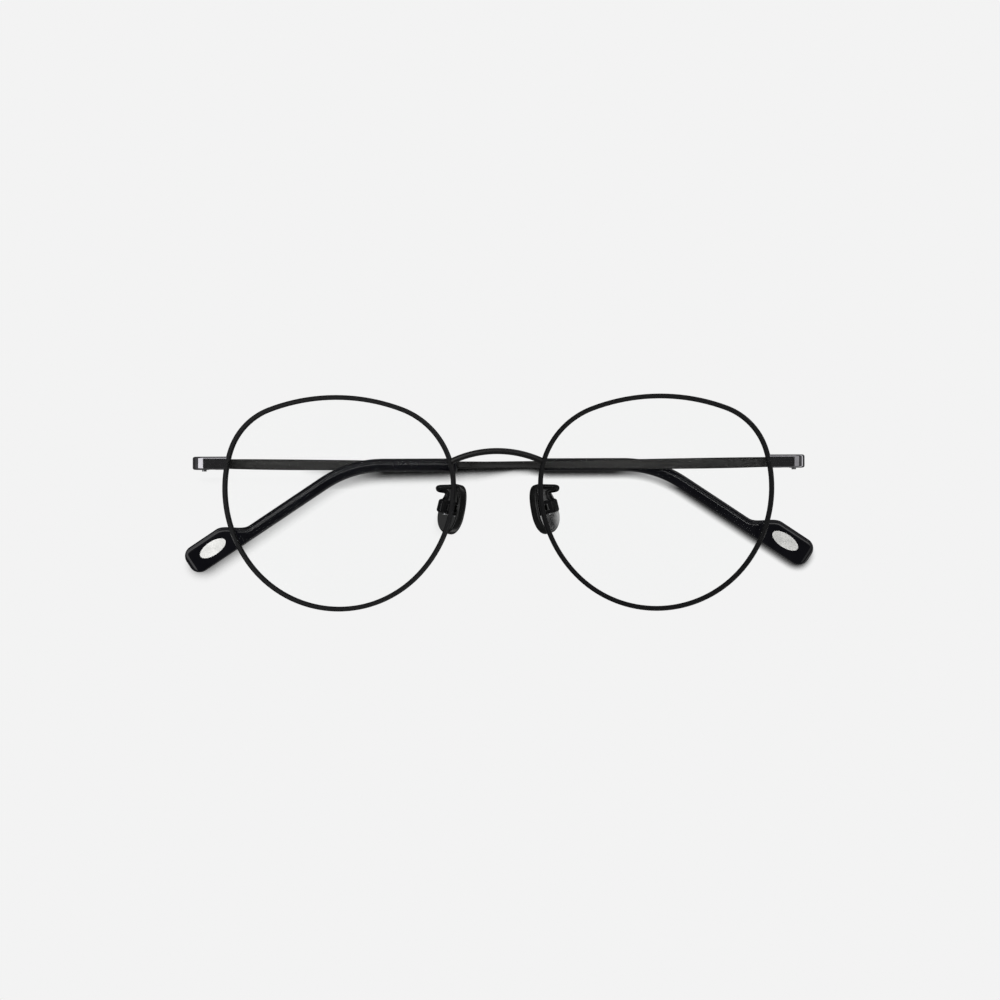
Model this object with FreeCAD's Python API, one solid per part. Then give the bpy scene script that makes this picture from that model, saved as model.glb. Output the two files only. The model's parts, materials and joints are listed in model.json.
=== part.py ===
"""Round wire eyeglasses, folded and lying on their temples with the front facing up (+Z).

The front is built in its own frame: X across the face, Y up the face, Z out of the front, with the origin
between the lenses in the plane of the rims' nose edges. Left is the -X side. Every paired piece is built once
for the +X side and mirrored. The finished glasses are then turned about Y until the outer temple lies flat,
and moved so that the origin is the middle of the bounding box's underside. Lengths are in millimetres.
"""

import FreeCAD, Part
import math
import os
from FreeCAD import Vector

# Eyes: 50 mm lenses, 20 mm apart, in planes that wrap back a little at the temples
EYE_X = 35.15
WRAP_DEG = 4.0
NASAL_REACH = 25.7
RIM_BOTTOM_Y = -23.35

# Centreline of the +X rim, anticlockwise from its lowest point: how far each arc turns, and its radius.
# The top arc and the nasal side have no radius here: they close the outline.
OUTLINE_TURNS = (54.6, 52.4, 52.7, 41.1, 66.2, 47.1, 45.9)
OUTLINE_RADII = (24.9, 28.0, 14.4, None, 17.7, None, 24.8)

# Eyewire section: across (radially) and deep (front to back)
WIRE_HALF_WIDTH = 0.53
WIRE_HALF_DEPTH = 0.95
WIRE_SHOULDER = 0.22
WIRE_CHAMFER = 0.13
GROOVE_HALF_MOUTH = 0.47
GROOVE_DEPTH = 0.35
SPLIT_GAP = 0.3

# Lenses
LENS_FRONT_RADIUS = 110.0
LENS_THICKNESS = 1.8
LENS_FRONT_Z = 3.76
LENS_GAP = 0.06
BEVEL_HALF_WIDTH = 0.40
BEVEL_ROOT = 0.5

# Bridge wire: a shallow arch between the rims
BRIDGE_RADIUS = 0.68
BRIDGE_APEX = Vector(0, 11.4, 1.1)
BRIDGE_END = Vector(10.35, 9.0, 0.0)

# Endpieces and hinges
HINGE_X = 65.8
HINGE_Y = 9.05
HINGE_Z = -9.0
PLATE_THICKNESS = 1.0
PLATE_HALF_HEIGHT = 1.45
PLATE_START_X = 59.9
PLATE_FRONT_Z = -2.6
PLATE_ROUNDING = 0.45
BEND_OUTER_RADIUS = 2.8
END_GAP = 0.1
BARREL_RADIUS = 1.0
BARREL_TO_PLATE = 1.1
REAR_BARREL_HALF = 0.50
FRONT_BARREL_INNER = 0.57
LEAF_THICKNESS = 0.7
LEAF_CLEARANCE = 1.25
FRONT_LEAF_LENGTH = 3.4
REAR_LEAF_LENGTH = 5.0
REAR_LEAF_HALF_HEIGHT = 0.95
PIN_RADIUS = 0.5
PIN_CLEARANCE = 0.05
PIN_HEAD_RADIUS = 0.8
PIN_HEAD_DEPTH = 0.4
PIN_TAIL = 0.35
SLOT_WIDTH = 0.25
SLOT_DEPTH = 0.15

# Closing blocks and the screw that pulls the split rim shut on its lens
BLOCK_SIZE = Vector(2.6, 1.3, 2.8)
BLOCK_X = 61.5
BLOCK_ROUNDING = 0.25
RIM_SCREW_RADIUS = 0.6
RIM_SCREW_HEAD_RADIUS = 0.8
RIM_SCREW_HEAD_HEIGHT = 0.4
RIM_SCREW_OFFSET = 0.35

# Temples: a flat metal bar, then an acetate tip over a metal core
BAR_THICKNESS = 1.0
BAR_START = 0.1
BAR_KNEE = 26.0
BAR_NECK = 66.0
BAR_TOP_Y = (1.0, 0.78, 0.22, 0.20)
BAR_BOTTOM_Y = (-1.0, -1.58, -1.31, -1.30)
BAR_EDGE = 0.18
CORE_START = 72.0
CORE_HALF_HEIGHT = 0.45
CORE_NEAR = 0.45
CORE_FAR = 1.45
CORE_STOPS_SHORT = 12.0
TIP_START = 75.0
TIP_CENTRE_Y = -0.55
TIP_HALF_HEIGHT = 1.475
TIP_THICKNESS = 2.6
TIP_ROUNDING = 0.95
TEMPLE_LENGTH = 141.3
BEND_RADIUS = 24.0
BEND_DEG = 33.6
BEND_AT = {"left": 101.0, "right": 98.8}
PADDLE_TOP = 4.85
PADDLE_FLARE_START = 16.2
PADDLE_FLARE_END = 9.6
PADDLE_FLARE_HANDLE = 3.7
PADDLE_CORNER = 2.5

# Oval metal inlay in the inner face of each paddle
INLAY_HALF_LENGTH = 3.3
INLAY_HALF_WIDTH = 1.5
INLAY_FROM_END = 6.7
INLAY_DEPTH = 0.3
INLAY_PROUD = 0.05
INLAY_FIT = 0.02

# How far each folded temple leans: the left one away from the front, the right one towards it
FOLD_LEAN_DEG = {"left": 1.7, "right": 0.5}

# Nose pads, in a pad frame whose -X faces the nose, whose Y is the pad's length and whose +Z edge is the front one.
# Each pad is an egg, widest below its middle and fuller towards the back.
PAD_CENTRE = Vector(9.6, -1.3, -8.0)
PAD_SPLAY_DEG = 40.0
PAD_FLARE_DEG = 14.0
PAD_WIDEST_Y = -1.5
PAD_REACH_UP = 7.0
PAD_REACH_DOWN = 4.3
PAD_REACH_FRONT = 2.9
PAD_REACH_BACK = 4.4
PAD_OUTLINE_POINTS = 24
PAD_THICKNESS = 2.4
PAD_NOSE_ROUNDING = 1.0
PAD_BACK_ROUNDING = 0.25
PAD_PIVOT = 2.35
LUG_RADIUS = 0.7
LUG_HALF_HEIGHT = 0.6
STEM_PLATE_THICKNESS = 0.15
STEM_PLATE_INSET = 0.35
BOX_INNER_HALF = 0.66
BOX_OUTER_HALF = 1.5
BOX_HALF_WIDTH = 0.95
BOX_START = 1.65
BOX_WALL_START = 3.15
BOX_END = 4.6
BOX_ROUNDING = 0.6
PAD_SCREW_RADIUS = 0.35
PAD_SCREW_HEAD_RADIUS = 0.6
PAD_SCREW_HEAD = 0.25

# Pad arms: a wire from the back of the rim that turns outward and back again before it drops to the pad's box
ARM_RADIUS = 0.55
ARM_BEND_RADIUS = 0.8
ARM_ROUTE = (
    Vector(9.35, 3.4, -0.3),
    Vector(9.6, 3.6, -3.0),
    Vector(13.2, 3.5, -3.4),
    Vector(13.1, 2.95, -5.4),
    Vector(11.0, 2.6, -6.0),
    Vector(11.4, 1.25, -5.9),
)
ARM_IN_BOX = Vector(4.0, 0.8, 0)

# Slack for telling edges apart, and how far a cutting shape runs on past what it cuts
TOLERANCE = 0.01
BEYOND = 1.0


def mirrored(shape):
    return shape.mirror(Vector(0, 0, 0), Vector(1, 0, 0))


def biggest(shape):
    return max(shape.Solids, key=lambda solid: solid.Volume)


def box_between(low, high):
    """A box from one corner to the opposite one."""
    size = high - low
    return Part.makeBox(size.x, size.y, size.z, low)


def upright_cylinder(radius, x, z, y_low, y_high):
    """A cylinder along Y."""
    return Part.makeCylinder(radius, y_high - y_low, Vector(x, y_low, z), Vector(0, 1, 0))


def slab(edges, z_low, z_high):
    """A flat outline in XY, filled and given thickness."""
    face = Part.Face(Part.Wire(Part.__sortEdges__(edges)))
    face.translate(Vector(0, 0, z_low))
    return face.extrude(Vector(0, 0, z_high - z_low))


def line(start, end):
    return Part.LineSegment(start, end).toShape()


def arc(centre, radius, start_deg, sweep_deg):
    """A circular edge in XY, anticlockwise from start_deg."""
    circle = Part.Circle(centre, Vector(0, 0, 1), radius)
    return Part.Arc(circle, math.radians(start_deg), math.radians(start_deg + sweep_deg)).toShape()


def rounded_path(points, radius):
    """Straight runs through the points, joined by tangent arcs of one radius."""
    edges = []
    start = points[0]
    for before, corner, after in zip(points, points[1:], points[2:]):
        back = (before - corner).normalize()
        ahead = (after - corner).normalize()
        half_angle = back.getAngle(ahead) / 2
        reach = radius / math.tan(half_angle)
        enter = corner + back * reach
        leave = corner + ahead * reach
        inward = (back + ahead).normalize()
        middle = corner + inward * (radius / math.sin(half_angle) - radius)
        edges.append(line(start, enter))
        edges.append(Part.Arc(enter, middle, leave).toShape())
        start = leave
    edges.append(line(start, points[-1]))
    return Part.Wire(edges)


def swept_wire(path, radius, start, direction):
    """A round wire along a path."""
    profile = Part.Wire(Part.makeCircle(radius, start, direction))
    return path.makePipeShell([profile], True, False)


# ---- eyes ----


def unit_steps():
    """For each arc of the outline, where it would lead from its start if its radius were 1."""
    steps = []
    heading = 0.0
    for turn in OUTLINE_TURNS:
        before = math.radians(heading)
        after = math.radians(heading + turn)
        steps.append(Vector(math.sin(after) - math.sin(before), math.cos(before) - math.cos(after), 0))
        heading += turn
    return steps


def closed_radii(steps):
    """The outline's radii, with the two open ones chosen so that the last arc ends where the first one starts."""
    gap = Vector(0, 0, 0)
    for step, radius in zip(steps, OUTLINE_RADII):
        gap += step * (radius or 0)
    top, nasal = [step for step, radius in zip(steps, OUTLINE_RADII) if radius is None]
    determinant = top.x * nasal.y - top.y * nasal.x
    solved = iter(
        [
            (nasal.x * gap.y - nasal.y * gap.x) / determinant,
            (top.y * gap.x - top.x * gap.y) / determinant,
        ]
    )
    return [radius or next(solved) for radius in OUTLINE_RADII]


def outline_arcs():
    """The rim centreline as (centre, radius, start angle, sweep) arcs."""
    arcs = []
    point = Vector(0, RIM_BOTTOM_Y, 0)
    heading = 0.0
    steps = unit_steps()
    for radius, turn, step in zip(closed_radii(steps), OUTLINE_TURNS, steps):
        side = math.radians(heading)
        centre = point + Vector(-math.sin(side), math.cos(side), 0) * radius
        arcs.append((centre, radius, heading - 90, turn))
        point = point + step * radius
        heading += turn
    return arcs


def ring(section_at):
    """Carries a section round the outline. section_at makes the section's face at a centre, radius and angle."""
    parts = []
    for centre, radius, start, sweep in outline_arcs():
        face = section_at(centre, radius, math.radians(start))
        parts.append(face.revolve(centre, Vector(0, 0, 1), sweep))
    return parts[0].multiFuse(parts[1:]).removeSplitter()


def in_section(centre, radius, angle, across, deep):
    """A point of a section: across is outward from the outline, deep is along Z."""
    outward = Vector(math.cos(angle), math.sin(angle), 0)
    return centre + outward * (radius + across) + Vector(0, 0, deep)


def eyewire_section(centre, radius, angle):
    """Grooved inside for the lens, softly crowned outside."""

    def at(across, deep):
        return in_section(centre, radius, angle, across, deep)

    inner = -WIRE_HALF_WIDTH
    depth = WIRE_HALF_DEPTH
    path = [
        at(WIRE_SHOULDER, depth),
        at(inner + WIRE_CHAMFER, depth),
        at(inner, depth - WIRE_CHAMFER),
        at(inner, GROOVE_HALF_MOUTH),
        at(inner + GROOVE_DEPTH, 0),
        at(inner, -GROOVE_HALF_MOUTH),
        at(inner, WIRE_CHAMFER - depth),
        at(inner + WIRE_CHAMFER, -depth),
        at(WIRE_SHOULDER, -depth),
    ]
    edges = [line(a, b) for a, b in zip(path, path[1:])]
    edges.append(Part.Arc(path[-1], at(WIRE_HALF_WIDTH, 0), path[0]).toShape())
    return Part.Face(Part.Wire(edges))


def bevel_section(centre, radius, angle):
    """The ridge on the lens edge that sits in the rim's groove."""
    edge = -WIRE_HALF_WIDTH - LENS_GAP
    tip = -WIRE_HALF_WIDTH + GROOVE_DEPTH - LENS_GAP
    root = edge - BEVEL_ROOT
    corners = [
        (root, -BEVEL_HALF_WIDTH),
        (edge, -BEVEL_HALF_WIDTH),
        (tip, 0),
        (edge, BEVEL_HALF_WIDTH),
        (root, BEVEL_HALF_WIDTH),
        (root, -BEVEL_HALF_WIDTH),
    ]
    return Part.Face(Part.makePolygon([in_section(centre, radius, angle, a, d) for a, d in corners]))


def in_eye(shape):
    """Moves a piece from the eye's own plane to its place in the front, +X side."""
    placed = shape.copy()
    placed.rotate(Vector(0, 0, 0), Vector(0, 1, 0), WRAP_DEG)
    nose_edge_drop = NASAL_REACH * math.sin(math.radians(WRAP_DEG))
    placed.translate(Vector(EYE_X, 0, -nose_edge_drop))
    return placed


def rim():
    """A closed eyewire, split at the height of the hinge."""
    split_depth = WIRE_HALF_DEPTH + BEYOND
    split = box_between(
        Vector(0, HINGE_Y - SPLIT_GAP / 2, -split_depth),
        Vector(2 * NASAL_REACH, HINGE_Y + SPLIT_GAP / 2, split_depth),
    )
    return in_eye(ring(eyewire_section).cut(split))


def lens():
    """A curved lens with a bevelled edge."""
    inset = WIRE_HALF_WIDTH + LENS_GAP
    edges = [arc(centre, radius - inset, start, sweep) for centre, radius, start, sweep in outline_arcs()]
    reach = LENS_FRONT_Z + LENS_THICKNESS
    blank = slab(edges, -reach, reach)
    centre = Vector(0, 0, LENS_FRONT_Z - LENS_FRONT_RADIUS)
    front = Part.makeSphere(LENS_FRONT_RADIUS, centre)
    back = Part.makeSphere(LENS_FRONT_RADIUS - LENS_THICKNESS, centre)
    return in_eye(blank.common(front).cut(back).fuse(ring(bevel_section)).removeSplitter())


def bridge(rims):
    """The arched wire between the rims, coped to them."""
    left_end = Vector(-BRIDGE_END.x, BRIDGE_END.y, BRIDGE_END.z)
    curve = Part.Arc(left_end, BRIDGE_APEX, BRIDGE_END)
    wire = swept_wire(Part.Wire(curve.toShape()), BRIDGE_RADIUS, left_end, curve.tangent(curve.FirstParameter)[0])
    for each in rims:
        wire = wire.cut(each)
    return biggest(wire)


# ---- endpiece, closing blocks and hinge, +X side ----


def endpiece(rim_shape):
    """A flat plate that leaves the rim sideways and bends back to the hinge."""
    outer_x = HINGE_X + BARREL_TO_PLATE + PLATE_THICKNESS
    bend_x = outer_x - BEND_OUTER_RADIUS
    bend_z = PLATE_FRONT_Z - BEND_OUTER_RADIUS
    inner_radius = BEND_OUTER_RADIUS - PLATE_THICKNESS
    back_z = HINGE_Z + END_GAP
    inner_x = outer_x - PLATE_THICKNESS
    inner_z = PLATE_FRONT_Z - PLATE_THICKNESS
    centre = Vector(bend_x, bend_z, 0)
    edges = [
        line(Vector(PLATE_START_X, PLATE_FRONT_Z, 0), Vector(bend_x, PLATE_FRONT_Z, 0)),
        arc(centre, BEND_OUTER_RADIUS, 0, 90),
        line(Vector(outer_x, bend_z, 0), Vector(outer_x, back_z, 0)),
        line(Vector(outer_x, back_z, 0), Vector(inner_x, back_z, 0)),
        line(Vector(inner_x, back_z, 0), Vector(inner_x, bend_z, 0)),
        arc(centre, inner_radius, 0, 90),
        line(Vector(bend_x, inner_z, 0), Vector(PLATE_START_X, inner_z, 0)),
        line(Vector(PLATE_START_X, inner_z, 0), Vector(PLATE_START_X, PLATE_FRONT_Z, 0)),
    ]
    plate = slab(edges, -PLATE_HALF_HEIGHT, PLATE_HALF_HEIGHT)
    outside = [
        edge
        for edge in plate.Edges
        if edge.BoundBox.ZLength < TOLERANCE
        and (edge.BoundBox.XMax > outer_x - TOLERANCE or edge.BoundBox.YMax > PLATE_FRONT_Z - TOLERANCE)
        and edge.Length > 2 * PLATE_THICKNESS
    ]
    plate = plate.makeFillet(PLATE_ROUNDING, outside)
    plate.rotate(Vector(0, 0, 0), Vector(1, 0, 0), 90)
    plate.translate(Vector(0, HINGE_Y, 0))
    return biggest(plate.cut(rim_shape))


def closing_block(rim_shape, above):
    """One of the two blocks on the split rim's ends. The upper one has a clearance hole, the lower a thread."""
    side = 1 if above else -1
    near = HINGE_Y + side * SPLIT_GAP / 2
    far = near + side * BLOCK_SIZE.y
    front = PLATE_FRONT_Z - PLATE_THICKNESS
    block = box_between(
        Vector(BLOCK_X - BLOCK_SIZE.x / 2, min(near, far), front - BLOCK_SIZE.z),
        Vector(BLOCK_X + BLOCK_SIZE.x / 2, max(near, far), front),
    )
    upright = [edge for edge in block.Edges if edge.BoundBox.YLength > TOLERANCE]
    block = block.makeFillet(BLOCK_ROUNDING, upright)
    return biggest(block.cut(rim_shape).cut(rim_screw()))


def rim_screw_axis():
    """Where the rim screw's axis crosses the XZ plane."""
    middle = PLATE_FRONT_Z - PLATE_THICKNESS - BLOCK_SIZE.z / 2
    return BLOCK_X + RIM_SCREW_OFFSET, middle - RIM_SCREW_OFFSET


def rim_screw():
    """Slotted screw down through both closing blocks, its head sunk in the upper one."""
    x, z = rim_screw_axis()
    reach = SPLIT_GAP / 2 + BLOCK_SIZE.y
    top = HINGE_Y + reach
    shank = upright_cylinder(RIM_SCREW_RADIUS, x, z, HINGE_Y - reach, top)
    head = upright_cylinder(RIM_SCREW_HEAD_RADIUS, x, z, top - RIM_SCREW_HEAD_HEIGHT, top)
    slot = screw_slot(x, top, z, RIM_SCREW_HEAD_RADIUS)
    return shank.fuse(head).removeSplitter().cut(slot)


def screw_slot(x, top, z, radius):
    """A driver slot across a screw head whose top is at height top."""
    half = SLOT_WIDTH / 2
    return box_between(
        Vector(x - radius - BEYOND, top - SLOT_DEPTH, z - half),
        Vector(x + radius + BEYOND, top + BEYOND, z + half),
    )


def hinge_screw():
    """Countersunk screw from the hinge's top, with its end showing below."""
    top = HINGE_Y + PLATE_HALF_HEIGHT
    shank = upright_cylinder(PIN_RADIUS, HINGE_X, HINGE_Z, HINGE_Y - PLATE_HALF_HEIGHT - PIN_TAIL, top)
    head = upright_cylinder(PIN_HEAD_RADIUS, HINGE_X, HINGE_Z, top - PIN_HEAD_DEPTH, top)
    slot = screw_slot(HINGE_X, top, HINGE_Z, PIN_HEAD_RADIUS)
    return shank.fuse(head).removeSplitter().cut(slot)


def front_hinge():
    """Leaf on the endpiece's inner face, with the upper and lower barrels."""
    inner_x = HINGE_X + BARREL_TO_PLATE
    low = HINGE_Y - PLATE_HALF_HEIGHT
    high = HINGE_Y + PLATE_HALF_HEIGHT
    leaf = box_between(
        Vector(inner_x - LEAF_THICKNESS, low, HINGE_Z + END_GAP),
        Vector(inner_x, high, HINGE_Z + FRONT_LEAF_LENGTH),
    )
    web = box_between(Vector(HINGE_X, low, HINGE_Z), Vector(inner_x - LEAF_THICKNESS, high, HINGE_Z + BARREL_RADIUS))
    barrel = upright_cylinder(BARREL_RADIUS, HINGE_X, HINGE_Z, low, high)
    room = upright_cylinder(
        LEAF_CLEARANCE, HINGE_X, HINGE_Z, HINGE_Y - FRONT_BARREL_INNER, HINGE_Y + FRONT_BARREL_INNER
    )
    return leaf.fuse([web, barrel]).removeSplitter().cut(room).cut(hinge_screw())


# ---- temple, folded along -X from a hinge axis at the origin, inner face towards +Z ----


def bar_outer():
    """How far behind the hinge axis the folded temple's outer face lies."""
    return BARREL_TO_PLATE + BAR_THICKNESS


def temple_bar(side):
    """The flat bar, and the core wire that runs on inside the tip."""
    stations = (BAR_START, BAR_KNEE, BAR_NECK, TIP_START)
    top = [Vector(-s, y, 0) for s, y in zip(stations, BAR_TOP_Y)]
    bottom = [Vector(-s, y, 0) for s, y in zip(stations, BAR_BOTTOM_Y)]
    edges = [smooth(top), smooth(bottom), line(top[0], bottom[0]), line(top[-1], bottom[-1])]
    bar = slab(edges, -bar_outer(), -BARREL_TO_PLATE)
    long_edges = [edge for edge in bar.Edges if edge.BoundBox.XLength > BAR_NECK]
    bar = bar.makeChamfer(BAR_EDGE, long_edges)
    core = slab(core_outline(side), -CORE_FAR, -CORE_NEAR)
    return bar.fuse(core).removeSplitter()


def smooth(points):
    """A smooth curve through the points."""
    curve = Part.BSplineCurve()
    curve.interpolate(points)
    return curve.toShape()


def bend_start(side):
    """Distance from the hinge to where the tip starts to turn down."""
    return BEND_AT[side] - BEND_RADIUS * math.tan(math.radians(BEND_DEG / 2))


def past_bend(side, along, up):
    """A point of the tip after its bend: along its axis from the bend's corner, and up from that axis."""
    turn = math.radians(BEND_DEG)
    s = BEND_AT[side] + along * math.cos(turn) + up * math.sin(turn)
    y = TIP_CENTRE_Y - along * math.sin(turn) + up * math.cos(turn)
    return Vector(-s, y, 0)


def tip_reach(side):
    """How far the tip runs on past the bend's corner."""
    return TEMPLE_LENGTH - BEND_AT[side]


def bend_arc(side, up):
    """The bent stretch of a line that runs a distance up from the tip's centreline."""
    centre = Vector(-bend_start(side), TIP_CENTRE_Y - BEND_RADIUS, 0)
    return arc(centre, BEND_RADIUS + up, 90, BEND_DEG)


def core_outline(side):
    after = BEND_RADIUS * math.tan(math.radians(BEND_DEG / 2))
    end = tip_reach(side) - CORE_STOPS_SHORT
    edges = []
    for up in (CORE_HALF_HEIGHT, -CORE_HALF_HEIGHT):
        start = Vector(-CORE_START, TIP_CENTRE_Y + up, 0)
        turn = Vector(-bend_start(side), TIP_CENTRE_Y + up, 0)
        edges += [line(start, turn), bend_arc(side, up), line(past_bend(side, after, up), past_bend(side, end, up))]
    edges.append(
        line(
            Vector(-CORE_START, TIP_CENTRE_Y + CORE_HALF_HEIGHT, 0),
            Vector(-CORE_START, TIP_CENTRE_Y - CORE_HALF_HEIGHT, 0),
        )
    )
    edges.append(line(past_bend(side, end, CORE_HALF_HEIGHT), past_bend(side, end, -CORE_HALF_HEIGHT)))
    return edges


def tip_outline(side):
    """Straight, bent down, then flared along its upper edge into a blunt paddle."""
    half = TIP_HALF_HEIGHT
    after = BEND_RADIUS * math.tan(math.radians(BEND_DEG / 2))
    end = tip_reach(side)
    flare_start = end - PADDLE_FLARE_START
    flare_end = end - PADDLE_FLARE_END

    def at(along, up):
        return past_bend(side, along, up)

    flare = Part.BezierCurve()
    flare.setPoles(
        [
            at(flare_start, half),
            at(flare_start + PADDLE_FLARE_HANDLE, half),
            at(flare_end - PADDLE_FLARE_HANDLE, PADDLE_TOP),
            at(flare_end, PADDLE_TOP),
        ]
    )
    corner = PADDLE_CORNER
    bite = corner * (1 - math.sqrt(0.5))
    top_front = Vector(-TIP_START, TIP_CENTRE_Y + half, 0)
    bottom_front = Vector(-TIP_START, TIP_CENTRE_Y - half, 0)
    return [
        line(bottom_front, top_front),
        line(top_front, Vector(-bend_start(side), top_front.y, 0)),
        bend_arc(side, half),
        line(at(after, half), at(flare_start, half)),
        flare.toShape(),
        line(at(flare_end, PADDLE_TOP), at(end - corner, PADDLE_TOP)),
        Part.Arc(
            at(end - corner, PADDLE_TOP), at(end - bite, PADDLE_TOP - bite), at(end, PADDLE_TOP - corner)
        ).toShape(),
        line(at(end, PADDLE_TOP - corner), at(end, corner - half)),
        Part.Arc(at(end, corner - half), at(end - bite, bite - half), at(end - corner, -half)).toShape(),
        line(at(end - corner, -half), at(after, -half)),
        bend_arc(side, -half),
        line(Vector(-bend_start(side), bottom_front.y, 0), bottom_front),
    ]


def oval(side, grow):
    """The inlay's outline, larger by grow."""
    middle = past_bend(side, tip_reach(side) - INLAY_FROM_END, (PADDLE_TOP - TIP_HALF_HEIGHT) / 2)
    turn = math.radians(BEND_DEG)
    ellipse = Part.Ellipse(
        middle + Vector(math.cos(turn), math.sin(turn), 0) * (INLAY_HALF_LENGTH + grow),
        middle + Vector(-math.sin(turn), math.cos(turn), 0) * (INLAY_HALF_WIDTH + grow),
        middle,
    )
    return [ellipse.toShape()]


def tip_inner():
    """How far in front of the hinge axis the folded tip's inner face lies."""
    return TIP_THICKNESS - bar_outer()


def tip_inlay(side):
    return slab(oval(side, 0), tip_inner() - INLAY_DEPTH, tip_inner() + INLAY_PROUD)


def temple_tip(side):
    """The acetate tip, with a pocket for the inlay and a bore for the core."""
    body = slab(tip_outline(side), -bar_outer(), tip_inner())
    face_edges = [edge for edge in body.Edges if edge.BoundBox.ZLength < TOLERANCE]
    body = body.makeFillet(TIP_ROUNDING, face_edges)
    pocket = slab(oval(side, INLAY_FIT), tip_inner() - INLAY_DEPTH, tip_inner() + BEYOND)
    return biggest(body.cut(pocket).cut(temple_bar(side)))


def rear_hinge():
    """Leaf on the temple's inner face, with the middle barrel."""
    leaf = box_between(
        Vector(-REAR_LEAF_LENGTH, -REAR_LEAF_HALF_HEIGHT, -BARREL_TO_PLATE),
        Vector(-LEAF_CLEARANCE, REAR_LEAF_HALF_HEIGHT, LEAF_THICKNESS - BARREL_TO_PLATE),
    )
    neck = box_between(
        Vector(-LEAF_CLEARANCE, -REAR_BARREL_HALF, -BARREL_TO_PLATE),
        Vector(-BAR_START, REAR_BARREL_HALF, 0),
    )
    barrel = upright_cylinder(BARREL_RADIUS, 0, 0, -REAR_BARREL_HALF, REAR_BARREL_HALF)
    hole = upright_cylinder(PIN_RADIUS + PIN_CLEARANCE, 0, 0, -BEYOND, BEYOND)
    return leaf.fuse([neck, barrel]).removeSplitter().cut(hole)


def folded(shape, side):
    """Puts a temple piece on its own side's hinge, leaning as that temple does when folded."""
    placed = mirrored(shape) if side == "left" else shape.copy()
    placed.rotate(Vector(0, 0, 0), Vector(0, 1, 0), FOLD_LEAN_DEG[side])
    across = -HINGE_X if side == "left" else HINGE_X
    placed.translate(Vector(across, HINGE_Y, HINGE_Z))
    return placed


# ---- nose pads, in the pad frame ----


def in_pad(shape):
    """Moves a piece from the pad frame to its place behind the +X rim."""
    placed = shape.copy()
    placed.rotate(Vector(0, 0, 0), Vector(0, 1, 0), -PAD_SPLAY_DEG)
    placed.rotate(Vector(0, 0, 0), Vector(0, 0, 1), PAD_FLARE_DEG)
    placed.translate(PAD_CENTRE)
    return placed


def pad_point(point):
    """A point of the pad frame in the front's frame."""
    turned = FreeCAD.Rotation(Vector(0, 0, 1), PAD_FLARE_DEG).multiply(
        FreeCAD.Rotation(Vector(0, 1, 0), -PAD_SPLAY_DEG)
    )
    return turned.multVec(point) + PAD_CENTRE


def pad_profile(inset):
    """The pad's outline in its YZ plane, drawn in by inset: four quarter ellipses about its widest point."""
    points = []
    for step in range(PAD_OUTLINE_POINTS):
        angle = 2 * math.pi * step / PAD_OUTLINE_POINTS
        up = PAD_REACH_UP if math.cos(angle) > 0 else PAD_REACH_DOWN
        front = PAD_REACH_FRONT if math.sin(angle) > 0 else PAD_REACH_BACK
        points.append(
            Vector(0, PAD_WIDEST_Y + (up - inset) * math.cos(angle), (front - inset) * math.sin(angle))
        )
    curve = Part.BSplineCurve()
    curve.interpolate(Points=points, PeriodicFlag=True)
    return Part.Face(Part.Wire(curve.toShape()))


def nose_pad():
    """An egg-shaped button, well rounded on the side that touches the nose."""
    face = pad_profile(0)
    face.translate(Vector(-PAD_THICKNESS / 2, 0, 0))
    pad = face.extrude(Vector(PAD_THICKNESS, 0, 0))
    for radius, nose_side in ((PAD_NOSE_ROUNDING, True), (PAD_BACK_ROUNDING, False)):
        outline = [
            edge
            for edge in pad.Edges
            if edge.BoundBox.XLength < TOLERANCE
            and (edge.BoundBox.XMax < 0) == nose_side
            and abs(edge.BoundBox.XMax) > PAD_THICKNESS / 2 - TOLERANCE
        ]
        pad = pad.makeFillet(radius, outline)
    return pad


def pad_stem():
    """The metal plate that covers the pad's back, with the lug on it."""
    back = PAD_THICKNESS / 2
    plate = pad_profile(STEM_PLATE_INSET).extrude(Vector(STEM_PLATE_THICKNESS, 0, 0))
    plate.translate(Vector(back, 0, 0))
    neck = box_between(
        Vector(back, -LUG_HALF_HEIGHT, -LUG_RADIUS),
        Vector(PAD_PIVOT, LUG_HALF_HEIGHT, LUG_RADIUS),
    )
    eye = upright_cylinder(LUG_RADIUS, PAD_PIVOT, 0, -LUG_HALF_HEIGHT, LUG_HALF_HEIGHT)
    hole = upright_cylinder(PAD_SCREW_RADIUS + PIN_CLEARANCE, PAD_PIVOT, 0, -BEYOND, BEYOND)
    return neck.fuse([plate, eye]).removeSplitter().cut(hole)


def pad_box():
    """The open box that holds the pad's lug between two ears."""
    outer = box_between(
        Vector(BOX_START, -BOX_OUTER_HALF, -BOX_HALF_WIDTH), Vector(BOX_END, BOX_OUTER_HALF, BOX_HALF_WIDTH)
    )
    outside = [edge for edge in outer.Edges if edge.BoundBox.XMax > BOX_START + TOLERANCE]
    outer = outer.makeFillet(BOX_ROUNDING, outside)
    room = box_between(
        Vector(BOX_START - BEYOND, -BOX_INNER_HALF, -BOX_HALF_WIDTH - BEYOND),
        Vector(BOX_WALL_START, BOX_INNER_HALF, BOX_HALF_WIDTH + BEYOND),
    )
    return outer.cut(room).cut(pad_screw())


def pad_screw():
    """Screw up through the box's ears and the lug, its head below."""
    shank = upright_cylinder(PAD_SCREW_RADIUS, PAD_PIVOT, 0, -BOX_OUTER_HALF, BOX_OUTER_HALF)
    bottom = -BOX_OUTER_HALF - PAD_SCREW_HEAD
    head = upright_cylinder(PAD_SCREW_HEAD_RADIUS, PAD_PIVOT, 0, bottom, -BOX_OUTER_HALF)
    return shank.fuse(head).removeSplitter()


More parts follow.
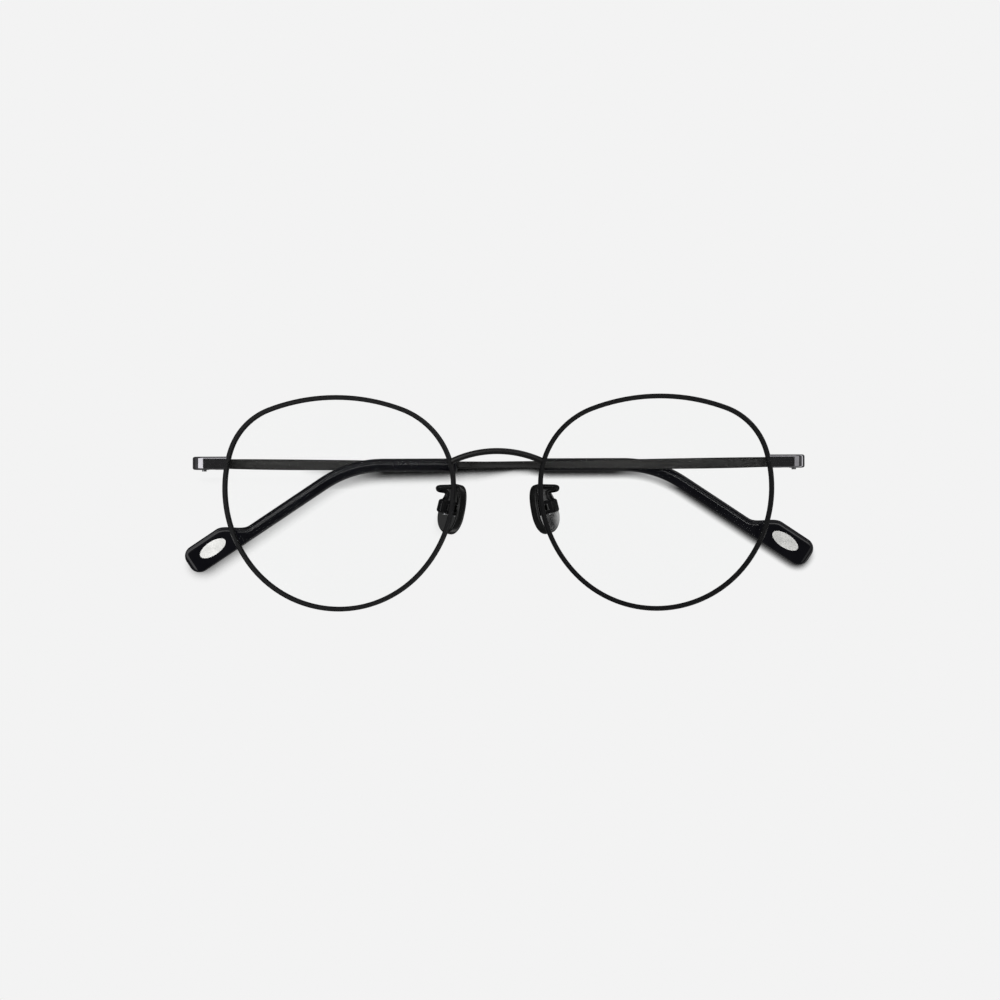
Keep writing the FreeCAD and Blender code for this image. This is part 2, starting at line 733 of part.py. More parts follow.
def pad_arm(rim_shape, box_shape):
    """The bent wire from the back of the rim to the pad's box."""
    route = [*ARM_ROUTE, pad_point(ARM_IN_BOX)]
    path = rounded_path(route, ARM_BEND_RADIUS)
    wire = swept_wire(path, ARM_RADIUS, route[0], route[1] - route[0])
    return biggest(wire.cut(rim_shape).cut(box_shape))


# ---- the whole object ----


def front_pieces():
    """Every +X piece of the front and of its nose pad, by name."""
    rim_shape = rim()
    box_shape = in_pad(pad_box())
    return {
        "rim": rim_shape,
        "lens": lens(),
        "endpiece": endpiece(rim_shape),
        "upper_closing_block": closing_block(rim_shape, True),
        "lower_closing_block": closing_block(rim_shape, False),
        "rim_screw": rim_screw(),
        "front_hinge": front_hinge(),
        "hinge_screw": hinge_screw(),
        "pad_arm": pad_arm(rim_shape, box_shape),
        "pad_box": box_shape,
        "pad_screw": in_pad(pad_screw()),
        "nose_pad": in_pad(nose_pad()),
        "pad_stem": in_pad(pad_stem()),
    }


def temple_pieces(side):
    """Every piece of one temple, by name."""
    shapes = {
        "temple_bar": temple_bar(side),
        "rear_hinge": rear_hinge(),
        "temple_tip": temple_tip(side),
        "tip_inlay": tip_inlay(side),
    }
    return {name: folded(shape, side) for name, shape in shapes.items()}


def eyeglasses():
    """Every node's shape, in the front's frame."""
    nodes = {}
    for name, shape in front_pieces().items():
        nodes["right_" + name] = shape
        nodes["left_" + name] = mirrored(shape)
    nodes["bridge"] = bridge([nodes["left_rim"], nodes["right_rim"]])
    for side in ("left", "right"):
        for name, shape in temple_pieces(side).items():
            nodes[side + "_" + name] = shape
    return nodes


def laid_down(nodes):
    """Turns the glasses until the outer temple lies flat, and returns how far they then have to move."""
    for shape in nodes.values():
        shape.rotate(Vector(0, 0, 0), Vector(0, 1, 0), -FOLD_LEAN_DEG["left"])
    box = Part.makeCompound(list(nodes.values())).optimalBoundingBox(False, False)
    shift = Vector(-(box.XMin + box.XMax) / 2, -(box.YMin + box.YMax) / 2, -box.ZMin)
    for shape in nodes.values():
        shape.translate(shift)
    return shift


def in_row_frame(point, shift):
    """A point of the front's frame, in the finished frame."""
    turn = FreeCAD.Rotation(Vector(0, 1, 0), -FOLD_LEAN_DEG["left"])
    return turn.multVec(point) + shift


def report_axes(shift):
    """Prints where the joints' axes lie in the finished frame."""
    up = Vector(0, 1, 0)
    pivot = Vector(PAD_PIVOT, 0, 0)
    spots = {
        "temple hinge": (Vector(HINGE_X, HINGE_Y, HINGE_Z), up),
        "pad screw": (pad_point(pivot), pad_point(pivot + up) - pad_point(pivot)),
    }
    for name, (point, axis) in spots.items():
        for side, sign in (("left", -1), ("right", 1)):
            there = in_row_frame(Vector(sign * point.x, point.y, point.z), shift)
            along = in_row_frame(Vector(sign * axis.x, axis.y, axis.z), Vector(0, 0, 0))
            print(side, name, "at", [round(v, 3) for v in there], "along", [round(v, 5) for v in along])


def main():
    os.makedirs("parts", exist_ok=True)
    nodes = eyeglasses()
    shift = laid_down(nodes)
    for name, shape in nodes.items():
        shape.exportStep(f"parts/{name}.step")
    report_axes(shift)


main()
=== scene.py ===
"""Looks of the folded round wire eyeglasses: materials, temple tips, nose pads, light and camera."""

import json
import math

import bmesh
import bpy
from mathutils import Matrix, Vector

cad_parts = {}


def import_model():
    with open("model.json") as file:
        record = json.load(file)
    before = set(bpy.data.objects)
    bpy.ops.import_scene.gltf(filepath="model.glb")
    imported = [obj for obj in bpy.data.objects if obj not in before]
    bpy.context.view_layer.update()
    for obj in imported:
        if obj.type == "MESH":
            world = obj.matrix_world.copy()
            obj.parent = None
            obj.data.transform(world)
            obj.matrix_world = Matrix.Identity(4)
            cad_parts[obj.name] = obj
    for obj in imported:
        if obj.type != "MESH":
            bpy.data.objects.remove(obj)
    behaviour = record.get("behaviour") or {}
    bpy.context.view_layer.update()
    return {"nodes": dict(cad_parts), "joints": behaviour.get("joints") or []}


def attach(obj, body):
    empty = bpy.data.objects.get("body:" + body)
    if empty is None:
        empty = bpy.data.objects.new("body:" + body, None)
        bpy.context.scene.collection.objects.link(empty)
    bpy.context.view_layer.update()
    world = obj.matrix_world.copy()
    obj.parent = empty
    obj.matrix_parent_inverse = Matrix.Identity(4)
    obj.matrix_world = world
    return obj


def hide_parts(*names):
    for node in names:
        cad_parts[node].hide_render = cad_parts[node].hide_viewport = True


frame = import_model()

MM = 0.001
QUARTER_TURN = math.pi / 2
NODES = frame["nodes"]
JOINTS = {joint["name"]: joint for joint in frame["joints"]}
SIDES = ("left", "right")

# How the glasses lie: the outer (left) temple flat, the front leaning back, the inner temple sloping down
FRONT_TILT = math.radians(-1.7)
TEMPLE_SLOPE = {"left": 0.0, "right": math.radians(-1.2)}

# A tip's run, in millimetres from the hinge; the temple's length goes through the bend's corner
TIP_START = 75.0
TEMPLE_LENGTH = 141.3
BEND_AT = {"left": 101.0, "right": 98.8}
BEND_RADIUS = 24.0
BEND = math.radians(33.6)
BEND_TANGENT = BEND_RADIUS * math.tan(BEND / 2)

# The tip's section in millimetres, and how square its faces are: 2 is an ellipse
TIP_AXIS_Y = -0.55
TIP_HALF_HEIGHT = 1.475
TIP_OUTER = -2.1
TIP_INNER = 0.5
TIP_MIDDLE = (TIP_INNER + TIP_OUTER) / 2
TIP_HALF_THICKNESS = (TIP_INNER - TIP_OUTER) / 2
OUTER_SQUARENESS = 4.0
SHAFT_SQUARENESS = 2.3
PADDLE_SQUARENESS = 6.0

# The tip's ends in millimetres, with the flare measured back from the paddle's end
PADDLE_TOP = 4.85
PADDLE_CORNER = 2.5
FLARE_START = 16.2
FLARE_END = 9.6
COLLAR_ROUNDING = 0.3

# How finely the tip is divided
TIP_AROUND = 96
COLLAR_STEPS = 4
SHAFT_STEPS = 44
PADDLE_STEPS = 34
END_STEPS = 16

# Nose pads, in millimetres
PAD_SPLAY = math.radians(40.0)
PAD_FLARE = math.radians(14.0)
PAD_PIVOT = 2.35
PAD_WIDEST_Y = -1.5
PAD_REACH_UP = 7.0
PAD_REACH_DOWN = 4.3
PAD_REACH_FRONT = 2.9
PAD_REACH_BACK = 4.4
PAD_HALF_THICKNESS = 1.2
PAD_NOSE_ROUNDING = 1.0
PAD_BACK_ROUNDING = 0.25
PAD_CORNER_STEPS = 8
PAD_AROUND = 64

# The plate on a pad's back: where the lug stands out of it, in millimetres, and their greys; the lug's
# near-black grey is painted shade
LUG_START = 1.42
LUG_EDGE = 0.02
PLATE_GREYS = (0.34, 0.38)
LUG_PAINTED_SHADE = 0.02

# Where a noise's values mostly lie, for gloss and for colour
GLOSS_SPAN = (0.3, 0.7)
COLOUR_SPAN = (0.35, 0.65)

# The most that the lenses' coat reflects
COAT_LIMIT = 0.015

# The floor and its contact shadows, in metres: how far they reach, and where the bars' shadows end
FLOOR_HALF = 0.9
LEFT_SHADOW_REACH = 0.0044
RIGHT_SHADOW_REACH = 0.0024
MIDDLE_SPAN = (-0.005, 0.005)
BAR_SHADOW_ENDS = (0.026, 0.045)
BAR_SHADOW_TOP = (0.003, 0.006)

# The contact shadows' lean from upright, and the openness at which they are black and clear
SHADOW_LEAN = math.radians(60.0)
SHADOW_SPAN = (0.36, 0.85)
SHADOW_SAMPLES = 24

# The studio: spans of a direction's X or Z part, and the light that comes from them
BACKDROP = 0.896
TABLE_EDGE = (-0.42, -0.34)
TABLE_LIGHT = 0.1
WALL_SIDES = (-0.25, 0.25)
WALL_LIGHT = (0.08, 2.0)
WALL_TOP = (-0.17, -0.11)
ROOM_HEIGHTS = (0.04, 0.94)
ROOM_LIGHT = (0.22, 0.06)

# Lights and camera, in metres
LIGHT_HEIGHT = 0.9
SIDE_SOFTBOX_X = 1.08
CAMERA_PLACE = (0.00018, 0.0006, 0.624)
CAMERA_ROLL = math.radians(-0.2)
CAMERA_NEAR = 0.01
FOCAL_LENGTH_MM = 100
SENSOR_WIDTH_MM = 36


# ---- node trees ----


class Nodes:
    """A node tree under construction."""

    def __init__(self, tree):
        self.tree = tree
        self.tree.nodes.clear()
        self.place = self.node("ShaderNodeTexCoord")

    def node(self, kind, **inputs):
        """A new node with plain values on its inputs; underscores stand for spaces."""
        made = self.tree.nodes.new(kind)
        for name, value in inputs.items():
            made.inputs[name.replace("_", " ")].default_value = value
        return made

    def operation(self, kind, operation):
        """A new node that does this operation."""
        made = self.node(kind)
        made.operation = operation
        return made

    def link(self, source, output, target, entry):
        self.tree.links.new(source.outputs[output], target.inputs[entry])

    def mapped(self, source, output, span=(0.0, 1.0), values=(0.0, 1.0)):
        """A node that goes from the first value to the second while the source goes through the span."""
        reach = self.node("ShaderNodeMapRange", From_Min=span[0], From_Max=span[1])
        reach.inputs["To Min"].default_value = values[0]
        reach.inputs["To Max"].default_value = values[1]
        self.link(source, output, reach, "Value")
        return reach

    def noise(self, scale, detail, roughness=0.5, stretch=(1, 1, 1)):
        """Noise in the object's own coordinates, with scale in features per metre."""
        mapping = self.node("ShaderNodeMapping", Scale=stretch)
        self.link(self.place, "Object", mapping, "Vector")
        noise = self.node("ShaderNodeTexNoise", Scale=scale, Detail=detail, Roughness=roughness)
        self.link(mapping, "Vector", noise, "Vector")
        return noise


class Shader(Nodes):
    """A material under construction."""

    def __init__(self, name):
        self.material = bpy.data.materials.new(name)
        self.material.use_nodes = True
        super().__init__(self.material.node_tree)
        self.output = self.node("ShaderNodeOutputMaterial")

    def finished(self, surface, output):
        """The material, with this node as its surface."""
        self.link(surface, output, self.output, "Surface")
        return self.material


class Finish(Shader):
    """A material on a Principled surface."""

    def __init__(self, name, **values):
        super().__init__(name)
        self.surface = self.node("ShaderNodeBsdfPrincipled", **values)
        self.finished(self.surface, "BSDF")

    def gloss(self, source, low, high):
        """Makes the surface's roughness follow a noise."""
        reach = self.mapped(source, "Fac", GLOSS_SPAN, (low, high))
        self.link(reach, "Result", self.surface, "Roughness")

    def tint(self, source, dark, light):
        """Colours the surface between two colours by a noise."""
        ramp = self.node("ShaderNodeValToRGB")
        for stop, position, colour in zip(ramp.color_ramp.elements, COLOUR_SPAN, (dark, light)):
            stop.position = position
            stop.color = (*colour, 1)
        self.link(source, "Fac", ramp, "Fac")
        self.link(ramp, "Color", self.surface, "Base Color")

    def bump(self, source, height):
        """Raises the surface by a noise, height in metres."""
        bump = self.node("ShaderNodeBump", Strength=1.0, Distance=height)
        self.link(source, "Fac", bump, "Height")
        self.link(bump, "Normal", self.surface, "Normal")


# ---- materials ----


def satin_lacquer(name, dark, light, roughness, shine):
    """Black lacquered wire: slightly uneven in colour and in gloss, with a fine orange peel."""
    finish = Finish(name, IOR=1.5, Specular_IOR_Level=shine)
    finish.tint(finish.noise(scale=900, detail=4), dark, light)
    finish.gloss(finish.noise(scale=1500, detail=4), low=roughness - 0.04, high=roughness + 0.05)
    finish.bump(finish.noise(scale=2500, detail=2), height=8e-7)
    return finish.material


def plated_metal(name, dark, light, roughness):
    """Smooth plating that mirrors the room softly, a little cloudy."""
    finish = Finish(name, Metallic=1.0)
    finish.tint(finish.noise(scale=500, detail=3), dark, light)
    finish.gloss(finish.noise(scale=900, detail=3), low=roughness - 0.01, high=roughness + 0.01)
    finish.bump(finish.noise(scale=700, detail=2), height=3e-7)
    return finish.material


def mirrored_plate(name, side):
    """Dark mirror plating on the pad's back plate, with painted shade: the lug that stands out of it is
    coloured near-black.
    """
    finish = Finish(name, Metallic=1.0)
    outward = (pad_matrix(side).to_3x3() @ Vector((1, 0, 0))).normalized()
    lug_level = (pad_matrix(side) @ Vector((LUG_START, 0, 0))).dot(outward)
    height = finish.operation("ShaderNodeVectorMath", "DOT_PRODUCT")
    height.inputs[1].default_value = outward
    finish.link(finish.place, "Object", height, "Vector")
    # Painted shade: the lug is coloured near-black where its mirror plating would show a reflection
    lug = finish.mapped(height, "Value", (lug_level - LUG_EDGE * MM, lug_level + LUG_EDGE * MM))
    clouds = finish.noise(scale=500, detail=3)
    plate = finish.mapped(clouds, "Fac", values=PLATE_GREYS)
    grey = finish.mapped(lug, "Result", values=(0.0, LUG_PAINTED_SHADE))
    finish.link(plate, "Result", grey, "To Min")
    finish.link(grey, "Result", finish.surface, "Base Color")
    finish.gloss(clouds, low=0.09, high=0.13)
    return finish.material


def brushed_metal(name, dark, light, roughness, stretch):
    """Metal with fine lengthwise drawing marks."""
    finish = Finish(name, Metallic=1.0, Anisotropic=0.3)
    marks = finish.noise(scale=2600, detail=4, roughness=0.55, stretch=stretch)
    finish.tint(marks, dark, light)
    finish.gloss(marks, low=roughness - 0.04, high=roughness + 0.05)
    finish.bump(marks, height=8e-7)
    return finish.material


def polished_acetate(name):
    """Hand-polished black acetate: deep gloss over faint cloudy depth."""
    finish = Finish(name, IOR=1.49, Specular_IOR_Level=0.25)
    clouds = finish.noise(scale=160, detail=3)
    finish.tint(clouds, dark=(0.0035, 0.0035, 0.005), light=(0.006, 0.006, 0.008))
    finish.gloss(finish.noise(scale=400, detail=3), low=0.08, high=0.10)
    return finish.material


def dark_plastic(name):
    """Moulded black plastic with a clean gloss."""
    finish = Finish(name, IOR=1.5, Specular_IOR_Level=0.25)
    clouds = finish.noise(scale=600, detail=3)
    finish.tint(clouds, dark=(0.004, 0.004, 0.004), light=(0.006, 0.006, 0.006))
    finish.gloss(finish.noise(scale=900, detail=3), low=0.16, high=0.24)
    finish.bump(finish.noise(scale=900, detail=2), height=5e-7)
    return finish.material


def clear_lens(name):
    """Clear plastic with an anti-reflection coat that leaves only the faintest gloss."""
    shader = Shader(name)
    through = shader.node("ShaderNodeBsdfTransparent", Color=(0.998, 1.0, 0.999, 1))
    mirror = shader.node("ShaderNodeBsdfGlossy", Color=(0.94, 1.0, 0.97, 1))
    fresnel = shader.node("ShaderNodeFresnel", IOR=1.045)
    coated = shader.mapped(fresnel, "Fac", (0.0, COAT_LIMIT), (0.0, COAT_LIMIT))
    smears = shader.mapped(shader.noise(scale=120, detail=4), "Fac", values=(0.01, 0.05))
    shader.link(smears, "Result", mirror, "Roughness")
    pane = shader.node("ShaderNodeMixShader")
    shader.link(coated, "Result", pane, "Fac")
    shader.link(through, "BSDF", pane, 1)
    shader.link(mirror, "BSDF", pane, 2)
    return shader.finished(pane, "Shader")


def make_materials():
    """Every material of the glasses, by a short name."""
    return {
        "rim": satin_lacquer(
            "rim_black",
            dark=(0.003, 0.003, 0.0035),
            light=(0.005, 0.005, 0.0055),
            roughness=0.36,
            shine=0.13,
        ),
        "bridge": satin_lacquer(
            "bridge_black",
            dark=(0.005, 0.005, 0.005),
            light=(0.008, 0.0075, 0.0075),
            roughness=0.34,
            shine=0.25,
        ),
        "endpiece": plated_metal(
            "endpiece_gunmetal",
            dark=(0.24, 0.235, 0.25),
            light=(0.29, 0.285, 0.30),
            roughness=0.07,
        ),
        "temple": brushed_metal(
            "temple_grey",
            dark=(0.033, 0.0325, 0.032),
            light=(0.047, 0.0465, 0.0455),
            roughness=0.36,
            stretch=(0.03, 1, 1),
        ),
        "screw": brushed_metal(
            "screw_steel",
            dark=(0.16, 0.16, 0.165),
            light=(0.21, 0.21, 0.215),
            roughness=0.30,
            stretch=(1, 0.2, 1),
        ),
        "inlay": brushed_metal(
            "inlay_silver",
            dark=(0.74, 0.74, 0.72),
            light=(0.82, 0.82, 0.80),
            roughness=0.50,
            stretch=(1, 0.3, 1),
        ),
        "tip": polished_acetate("tip_acetate"),
        "pad": dark_plastic("pad_black"),
        "left_plate": mirrored_plate("left_pad_plate_mirror", "left"),
        "right_plate": mirrored_plate("right_pad_plate_mirror", "right"),
        "lens": clear_lens("lens_clear"),
    }


# The material of each pair of nodes, by the nodes' name without its side
PAIR_MATERIALS = {
    "rim": "rim",
    "upper_closing_block": "rim",
    "lower_closing_block": "rim",
    "pad_arm": "rim",
    "pad_box": "rim",
    "endpiece": "endpiece",
    "front_hinge": "endpiece",
    "rear_hinge": "temple",
    "temple_bar": "temple",
    "rim_screw": "screw",
    "hinge_screw": "screw",
    "pad_screw": "screw",
    "tip_inlay": "inlay",
    "lens": "lens",
}


def dress(piece, material):
    """Makes this the piece's only material."""
    piece.data.materials.clear()
    piece.data.materials.append(material)


def dress_cad_nodes(materials):
    """Gives every carried-over node its material; the clear lenses cast no shadow."""
    dress(NODES["bridge"], materials["bridge"])
    for side in SIDES:
        for name, material in PAIR_MATERIALS.items():
            dress(NODES[f"{side}_{name}"], materials[material])
        dress(NODES[f"{side}_pad_stem"], materials[f"{side}_plate"])
        NODES[f"{side}_lens"].visible_shadow = False


# ---- lofted pieces ----


def lofted(name, rings, cap_end):
    """A mesh of quads between rings of points, with a cap on the first ring.

    The last ring takes a cap too, or is flat, and closes when its doubled points are joined.
    """
    mesh = bmesh.new()
    rows = [[mesh.verts.new(point) for point in ring] for ring in rings]
    count = len(rings[0])
    for row, following in zip(rows, rows[1:]):
        for i in range(count):
            j = (i + 1) % count
            mesh.faces.new((row[i], row[j], following[j], following[i]))
    mesh.faces.new(list(reversed(rows[0])))
    if cap_end:
        mesh.faces.new(rows[-1])
    bmesh.ops.remove_doubles(mesh, verts=mesh.verts, dist=1e-7)
    bmesh.ops.recalc_face_normals(mesh, faces=mesh.faces)
    data = bpy.data.meshes.new(name)
    mesh.to_mesh(data)
    mesh.free()
    data.shade_smooth()
    piece = bpy.data.objects.new(name, data)
    bpy.context.scene.collection.objects.link(piece)
    return piece


def power(value, exponent):
    """A signed power, for superellipses."""
    return math.copysign(abs(value) ** exponent, value)


def smoothstep(value):
    """Eases from 0 to 1."""
    value = min(1.0, max(0.0, value))
    return value * value * (3 - 2 * value)


def evenly(start, end, count):
    """Evenly spaced values from start, leaving out the end."""
    return [start + (end - start) * i / count for i in range(count)]


def rounding_inset(radius, distance):
    """How far a rounded end draws a surface in, at a distance from the end."""
    if distance >= radius:
        return 0.0
    return radius - math.sqrt(max(0.0, radius**2 - (radius - distance) ** 2))


# ---- temple tips ----


def temple_matrix(side):
    """From a temple's own frame, with its hinge at the origin and running along -X, to the row frame."""
    hinge = Vector(JOINTS[f"{side}_temple_fold"]["pos_m"])
    matrix = Matrix.Translation(hinge) @ Matrix.Rotation(TEMPLE_SLOPE[side], 4, "Y")
    if side == "left":
        matrix = matrix @ Matrix.Scale(-1, 4, (1, 0, 0))
    return matrix @ Matrix.Scale(MM, 4)


def straight_length(side):
    """Length of the tip from its front end to the start of its bend."""
    return BEND_AT[side] - BEND_TANGENT - TIP_START


def tip_length(side):
    """Length of the tip along its axis."""
    beyond_bend = TEMPLE_LENGTH - BEND_AT[side] - BEND_TANGENT
    return straight_length(side) + BEND_RADIUS * BEND + beyond_bend


def tip_axis(side, run):
    """A point of the tip's axis, a distance run from its front end, and how far it has turned by there."""
    straight = straight_length(side)
    if run <= straight:
        return Vector((-(TIP_START + run), TIP_AXIS_Y, 0)), 0.0
    turn = min((run - straight) / BEND_RADIUS, BEND)
    x = -(TIP_START + straight) - BEND_RADIUS * math.sin(turn)
    y = TIP_AXIS_Y - BEND_RADIUS * (1 - math.cos(turn))
    beyond = max(0.0, run - straight - BEND_RADIUS * BEND)
    return Vector((x - beyond * math.cos(turn), y - beyond * math.sin(turn), 0)), turn


def tip_section(run, length):
    """Top, bottom, half thickness and inner squareness of the section at a distance run along the tip."""
    left_over = length - run
    flare = smoothstep((FLARE_START - left_over) / (FLARE_START - FLARE_END))
    collar = rounding_inset(COLLAR_ROUNDING, run)
    inset = collar + rounding_inset(PADDLE_CORNER, left_over)
    top = TIP_HALF_HEIGHT + (PADDLE_TOP - TIP_HALF_HEIGHT) * flare - inset
    bottom = inset - TIP_HALF_HEIGHT
    half_thickness = TIP_HALF_THICKNESS - collar - rounding_inset(TIP_HALF_THICKNESS, left_over)
    squareness = SHAFT_SQUARENESS + (PADDLE_SQUARENESS - SHAFT_SQUARENESS) * flare
    return top, bottom, half_thickness, squareness


def tip_ring(side, run, length):
    """One section of the tip: its inner face is crowned on the shaft and flatter on the paddle."""
    axis, turn = tip_axis(side, run)
    top, bottom, half_thickness, inner_squareness = tip_section(run, length)
    up = Vector((-math.sin(turn), math.cos(turn), 0))
    ring = []
    for i in range(TIP_AROUND):
        angle = 2 * math.pi * i / TIP_AROUND
        squareness = inner_squareness if math.sin(angle) > 0 else OUTER_SQUARENESS
        across = (top + bottom) / 2 + (top - bottom) / 2 * power(math.cos(angle), 2 / squareness)
        deep = TIP_MIDDLE + half_thickness * power(math.sin(angle), 2 / squareness)
        ring.append(axis + up * across + Vector((0, 0, deep)))
    return ring


def tip_stations(length):
    """Distances along the tip, closer together at its ends and on the paddle."""
    shaft_end = length - FLARE_START
    paddle_end = length - PADDLE_CORNER
    collar = [COLLAR_ROUNDING * (1 - math.cos(turn)) for turn in evenly(0.0, QUARTER_TURN, COLLAR_STEPS)]
    shaft = evenly(COLLAR_ROUNDING, shaft_end, SHAFT_STEPS)
    paddle = evenly(shaft_end, paddle_end, PADDLE_STEPS)
    end = [paddle_end + PADDLE_CORNER * math.sin(turn) for turn in evenly(0.0, QUARTER_TURN, END_STEPS)]
    return collar + shaft + paddle + end + [length]


def temple_tip(side, material):
    """An acetate tip that bends down behind the ear and widens to a paddle."""
    length = tip_length(side)
    matrix = temple_matrix(side)
    rings = [[matrix @ point for point in tip_ring(side, run, length)] for run in tip_stations(length)]
    piece = lofted(f"{side}_tip_shell", rings, cap_end=False)
    dress(piece, material)
    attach(piece, f"{side}_temple")
    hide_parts(f"{side}_temple_tip")


# ---- nose pads ----


def pad_matrix(side):
    """From the pad's frame, with -X towards the nose and Y along the pad, to the row frame."""
    pivot = Vector(JOINTS[f"{side}_pad_rock"]["pos_m"])
    turned = Matrix.Rotation(PAD_FLARE, 4, "Z") @ Matrix.Rotation(-PAD_SPLAY, 4, "Y")
    if side == "left":
        turned = Matrix.Scale(-1, 4, (1, 0, 0)) @ turned
    tilted = Matrix.Translation(pivot) @ Matrix.Rotation(FRONT_TILT, 4, "Y") @ turned
    return tilted @ Matrix.Scale(MM, 4) @ Matrix.Translation((-PAD_PIVOT, 0, 0))


def pad_corner(radius, face, inward):
    """A rounded corner of the pad's section, from the flat face to the side, as depths and insets."""
    corner = []
    for step in range(PAD_CORNER_STEPS + 1):
        angle = QUARTER_TURN * step / PAD_CORNER_STEPS
        depth = face + inward * radius * (1 - math.cos(angle))
        corner.append((depth, radius * (1 - math.sin(angle))))
    return corner


def pad_profile():
    """The pad's section from its nose side to its back, as pairs of depth and inset from the outline."""
    nose_side = pad_corner(PAD_NOSE_ROUNDING, -PAD_HALF_THICKNESS, 1)
    back_side = pad_corner(PAD_BACK_ROUNDING, PAD_HALF_THICKNESS, -1)
    return nose_side + back_side[::-1]


def pad_ring(depth, inset):
    """The pad's egg-shaped outline at one depth, drawn in by inset."""
    ring = []
    for i in range(PAD_AROUND):
        angle = 2 * math.pi * i / PAD_AROUND
        up = PAD_REACH_UP if math.cos(angle) > 0 else PAD_REACH_DOWN
        front = PAD_REACH_FRONT if math.sin(angle) > 0 else PAD_REACH_BACK
        y = PAD_WIDEST_Y + (up - inset) * math.cos(angle)
        ring.append(Vector((depth, y, (front - inset) * math.sin(angle))))
    return ring


def nose_pad(side, material):
    """An egg-shaped pad, widest below its middle, well rounded on its nose side."""
    matrix = pad_matrix(side)
    rings = [[matrix @ point for point in pad_ring(depth, inset)] for depth, inset in pad_profile()]
    piece = lofted(f"{side}_pad_shell", rings, cap_end=True)
    dress(piece, material)
    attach(piece, f"{side}_pad")
    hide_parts(f"{side}_nose_pad")


# ---- floor and world ----


def contact_shade():
    """Clear, and shaded on the -Y side of what stands close above it.

    The shade reaches further on the left, and the outer stretches of the bars have none.
    """
    shader = Shader("floor_shade")
    parts = shader.node("ShaderNodeSeparateXYZ")
    shader.link(shader.place, "Object", parts, "Vector")
    across = shader.operation("ShaderNodeMath", "ABSOLUTE")
    shader.link(parts, "X", across, "Value")
    outer = shader.mapped(across, "Value", BAR_SHADOW_ENDS)
    upper = shader.mapped(parts, "Y", BAR_SHADOW_TOP)
    unshaded = shader.operation("ShaderNodeMath", "MULTIPLY")
    shader.link(outer, "Result", unshaded, 0)
    shader.link(upper, "Result", unshaded, 1)
    reach = shader.mapped(parts, "X", MIDDLE_SPAN, (LEFT_SHADOW_REACH, RIGHT_SHADOW_REACH))
    lean = shader.node("ShaderNodeCombineXYZ", Y=math.sin(SHADOW_LEAN), Z=math.cos(SHADOW_LEAN))
    openness = shader.node("ShaderNodeAmbientOcclusion")
    openness.samples = SHADOW_SAMPLES
    shader.link(reach, "Result", openness, "Distance")
    shader.link(lean, "Vector", openness, "Normal")
    shade = shader.mapped(openness, "AO", SHADOW_SPAN)
    shade.interpolation_type = "SMOOTHSTEP"
    shader.link(unshaded, "Value", shade, "To Min")
    through = shader.node("ShaderNodeBsdfTransparent")
    shader.link(shade, "Result", through, "Color")
    return shader.finished(through, "BSDF")


def floor():
    """A pale floor that lets whatever swings below it be seen."""
    data = bpy.data.meshes.new("floor")
    corners = [(x * FLOOR_HALF, y * FLOOR_HALF, 0) for x, y in ((-1, -1), (1, -1), (1, 1), (-1, 1))]
    data.from_pydata(corners, [], [(0, 1, 2, 3)])
    data.materials.append(contact_shade())
    piece = bpy.data.objects.new("floor", data)
    bpy.context.scene.collection.objects.link(piece)
    piece.visible_shadow = False
    piece.visible_diffuse = False
    piece.visible_glossy = False


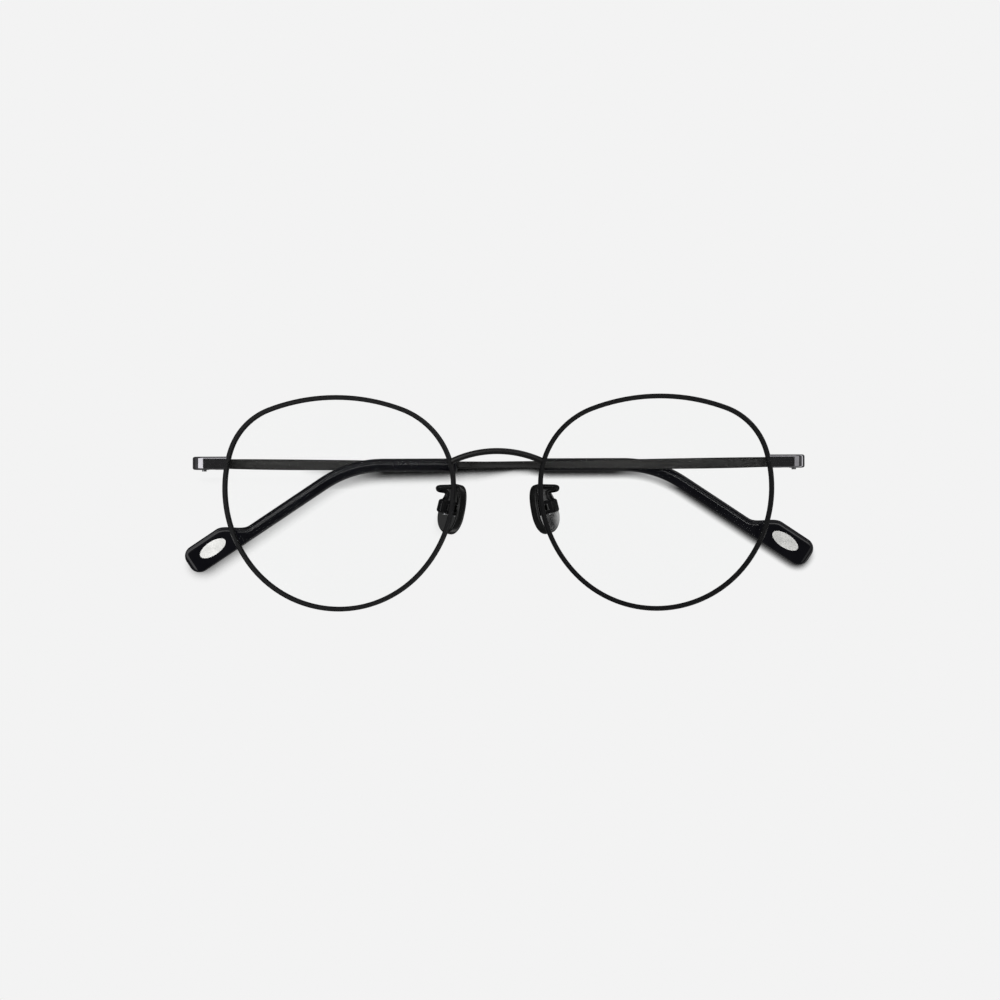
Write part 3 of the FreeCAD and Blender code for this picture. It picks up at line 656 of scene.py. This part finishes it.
def world():
    """Pale all round for the camera.

    For light and reflections it is a dim studio, with a low white wall on the right.
    """
    made = bpy.data.worlds.new("studio")
    bpy.context.scene.world = made
    made.use_nodes = True
    studio = Nodes(made.node_tree)
    parts = studio.node("ShaderNodeSeparateXYZ")
    studio.link(studio.place, "Generated", parts, "Vector")
    wall = studio.mapped(parts, "X", WALL_SIDES, WALL_LIGHT)
    below = studio.mapped(parts, "Z", TABLE_EDGE, (TABLE_LIGHT, 1.0))
    room = studio.mapped(parts, "Z", ROOM_HEIGHTS, ROOM_LIGHT)
    around = studio.mapped(parts, "Z", WALL_TOP)
    studio.link(wall, "Result", below, "To Max")
    studio.link(below, "Result", around, "To Min")
    studio.link(room, "Result", around, "To Max")
    lit = studio.node("ShaderNodeBackground")
    studio.link(around, "Result", lit, "Color")
    seen = studio.node("ShaderNodeBackground", Color=(BACKDROP, BACKDROP, BACKDROP, 1))
    path = studio.node("ShaderNodeLightPath")
    mix = studio.node("ShaderNodeMixShader")
    studio.link(path, "Is Camera Ray", mix, "Fac")
    studio.link(lit, "Background", mix, 1)
    studio.link(seen, "Background", mix, 2)
    output = studio.node("ShaderNodeOutputWorld")
    studio.link(mix, "Shader", output, "Surface")


# ---- lights and camera ----


def softbox(name, x, y, width, length, radiance):
    """A flat soft light at LIGHT_HEIGHT, facing down."""
    lamp = bpy.data.lights.new(name, "AREA")
    lamp.shape = "RECTANGLE"
    lamp.size = width
    lamp.size_y = length
    lamp.energy = radiance * math.pi * width * length
    piece = bpy.data.objects.new(name, lamp)
    piece.location = (x, y, LIGHT_HEIGHT)
    piece.visible_camera = False
    bpy.context.scene.collection.objects.link(piece)


def lights():
    """Soft lights to the left, to the right and above the brow, and a narrow strip for the gloss lines."""
    softbox("left_softbox", x=-SIDE_SOFTBOX_X, y=0.0, width=1.4, length=1.5, radiance=2.6)
    softbox("right_softbox", x=SIDE_SOFTBOX_X, y=0.0, width=1.4, length=1.5, radiance=0.8)
    softbox("top_softbox", x=0.0, y=1.2, width=1.8, length=1.6, radiance=0.65)
    softbox("strip_light", x=0.0, y=0.165, width=1.6, length=0.12, radiance=3.4)


def camera():
    """Straight above the folded glasses."""
    data = bpy.data.cameras.new("camera")
    data.lens = FOCAL_LENGTH_MM
    data.sensor_width = SENSOR_WIDTH_MM
    data.clip_start = CAMERA_NEAR
    piece = bpy.data.objects.new("camera", data)
    piece.location = CAMERA_PLACE
    piece.rotation_euler = (0, 0, CAMERA_ROLL)
    bpy.context.scene.collection.objects.link(piece)
    bpy.context.scene.camera = piece


# ---- the scene ----

materials = make_materials()
dress_cad_nodes(materials)
for side in SIDES:
    temple_tip(side, materials["tip"])
    nose_pad(side, materials["pad"])
floor()
world()
lights()
camera()
bpy.context.scene.view_settings.view_transform = "Standard"
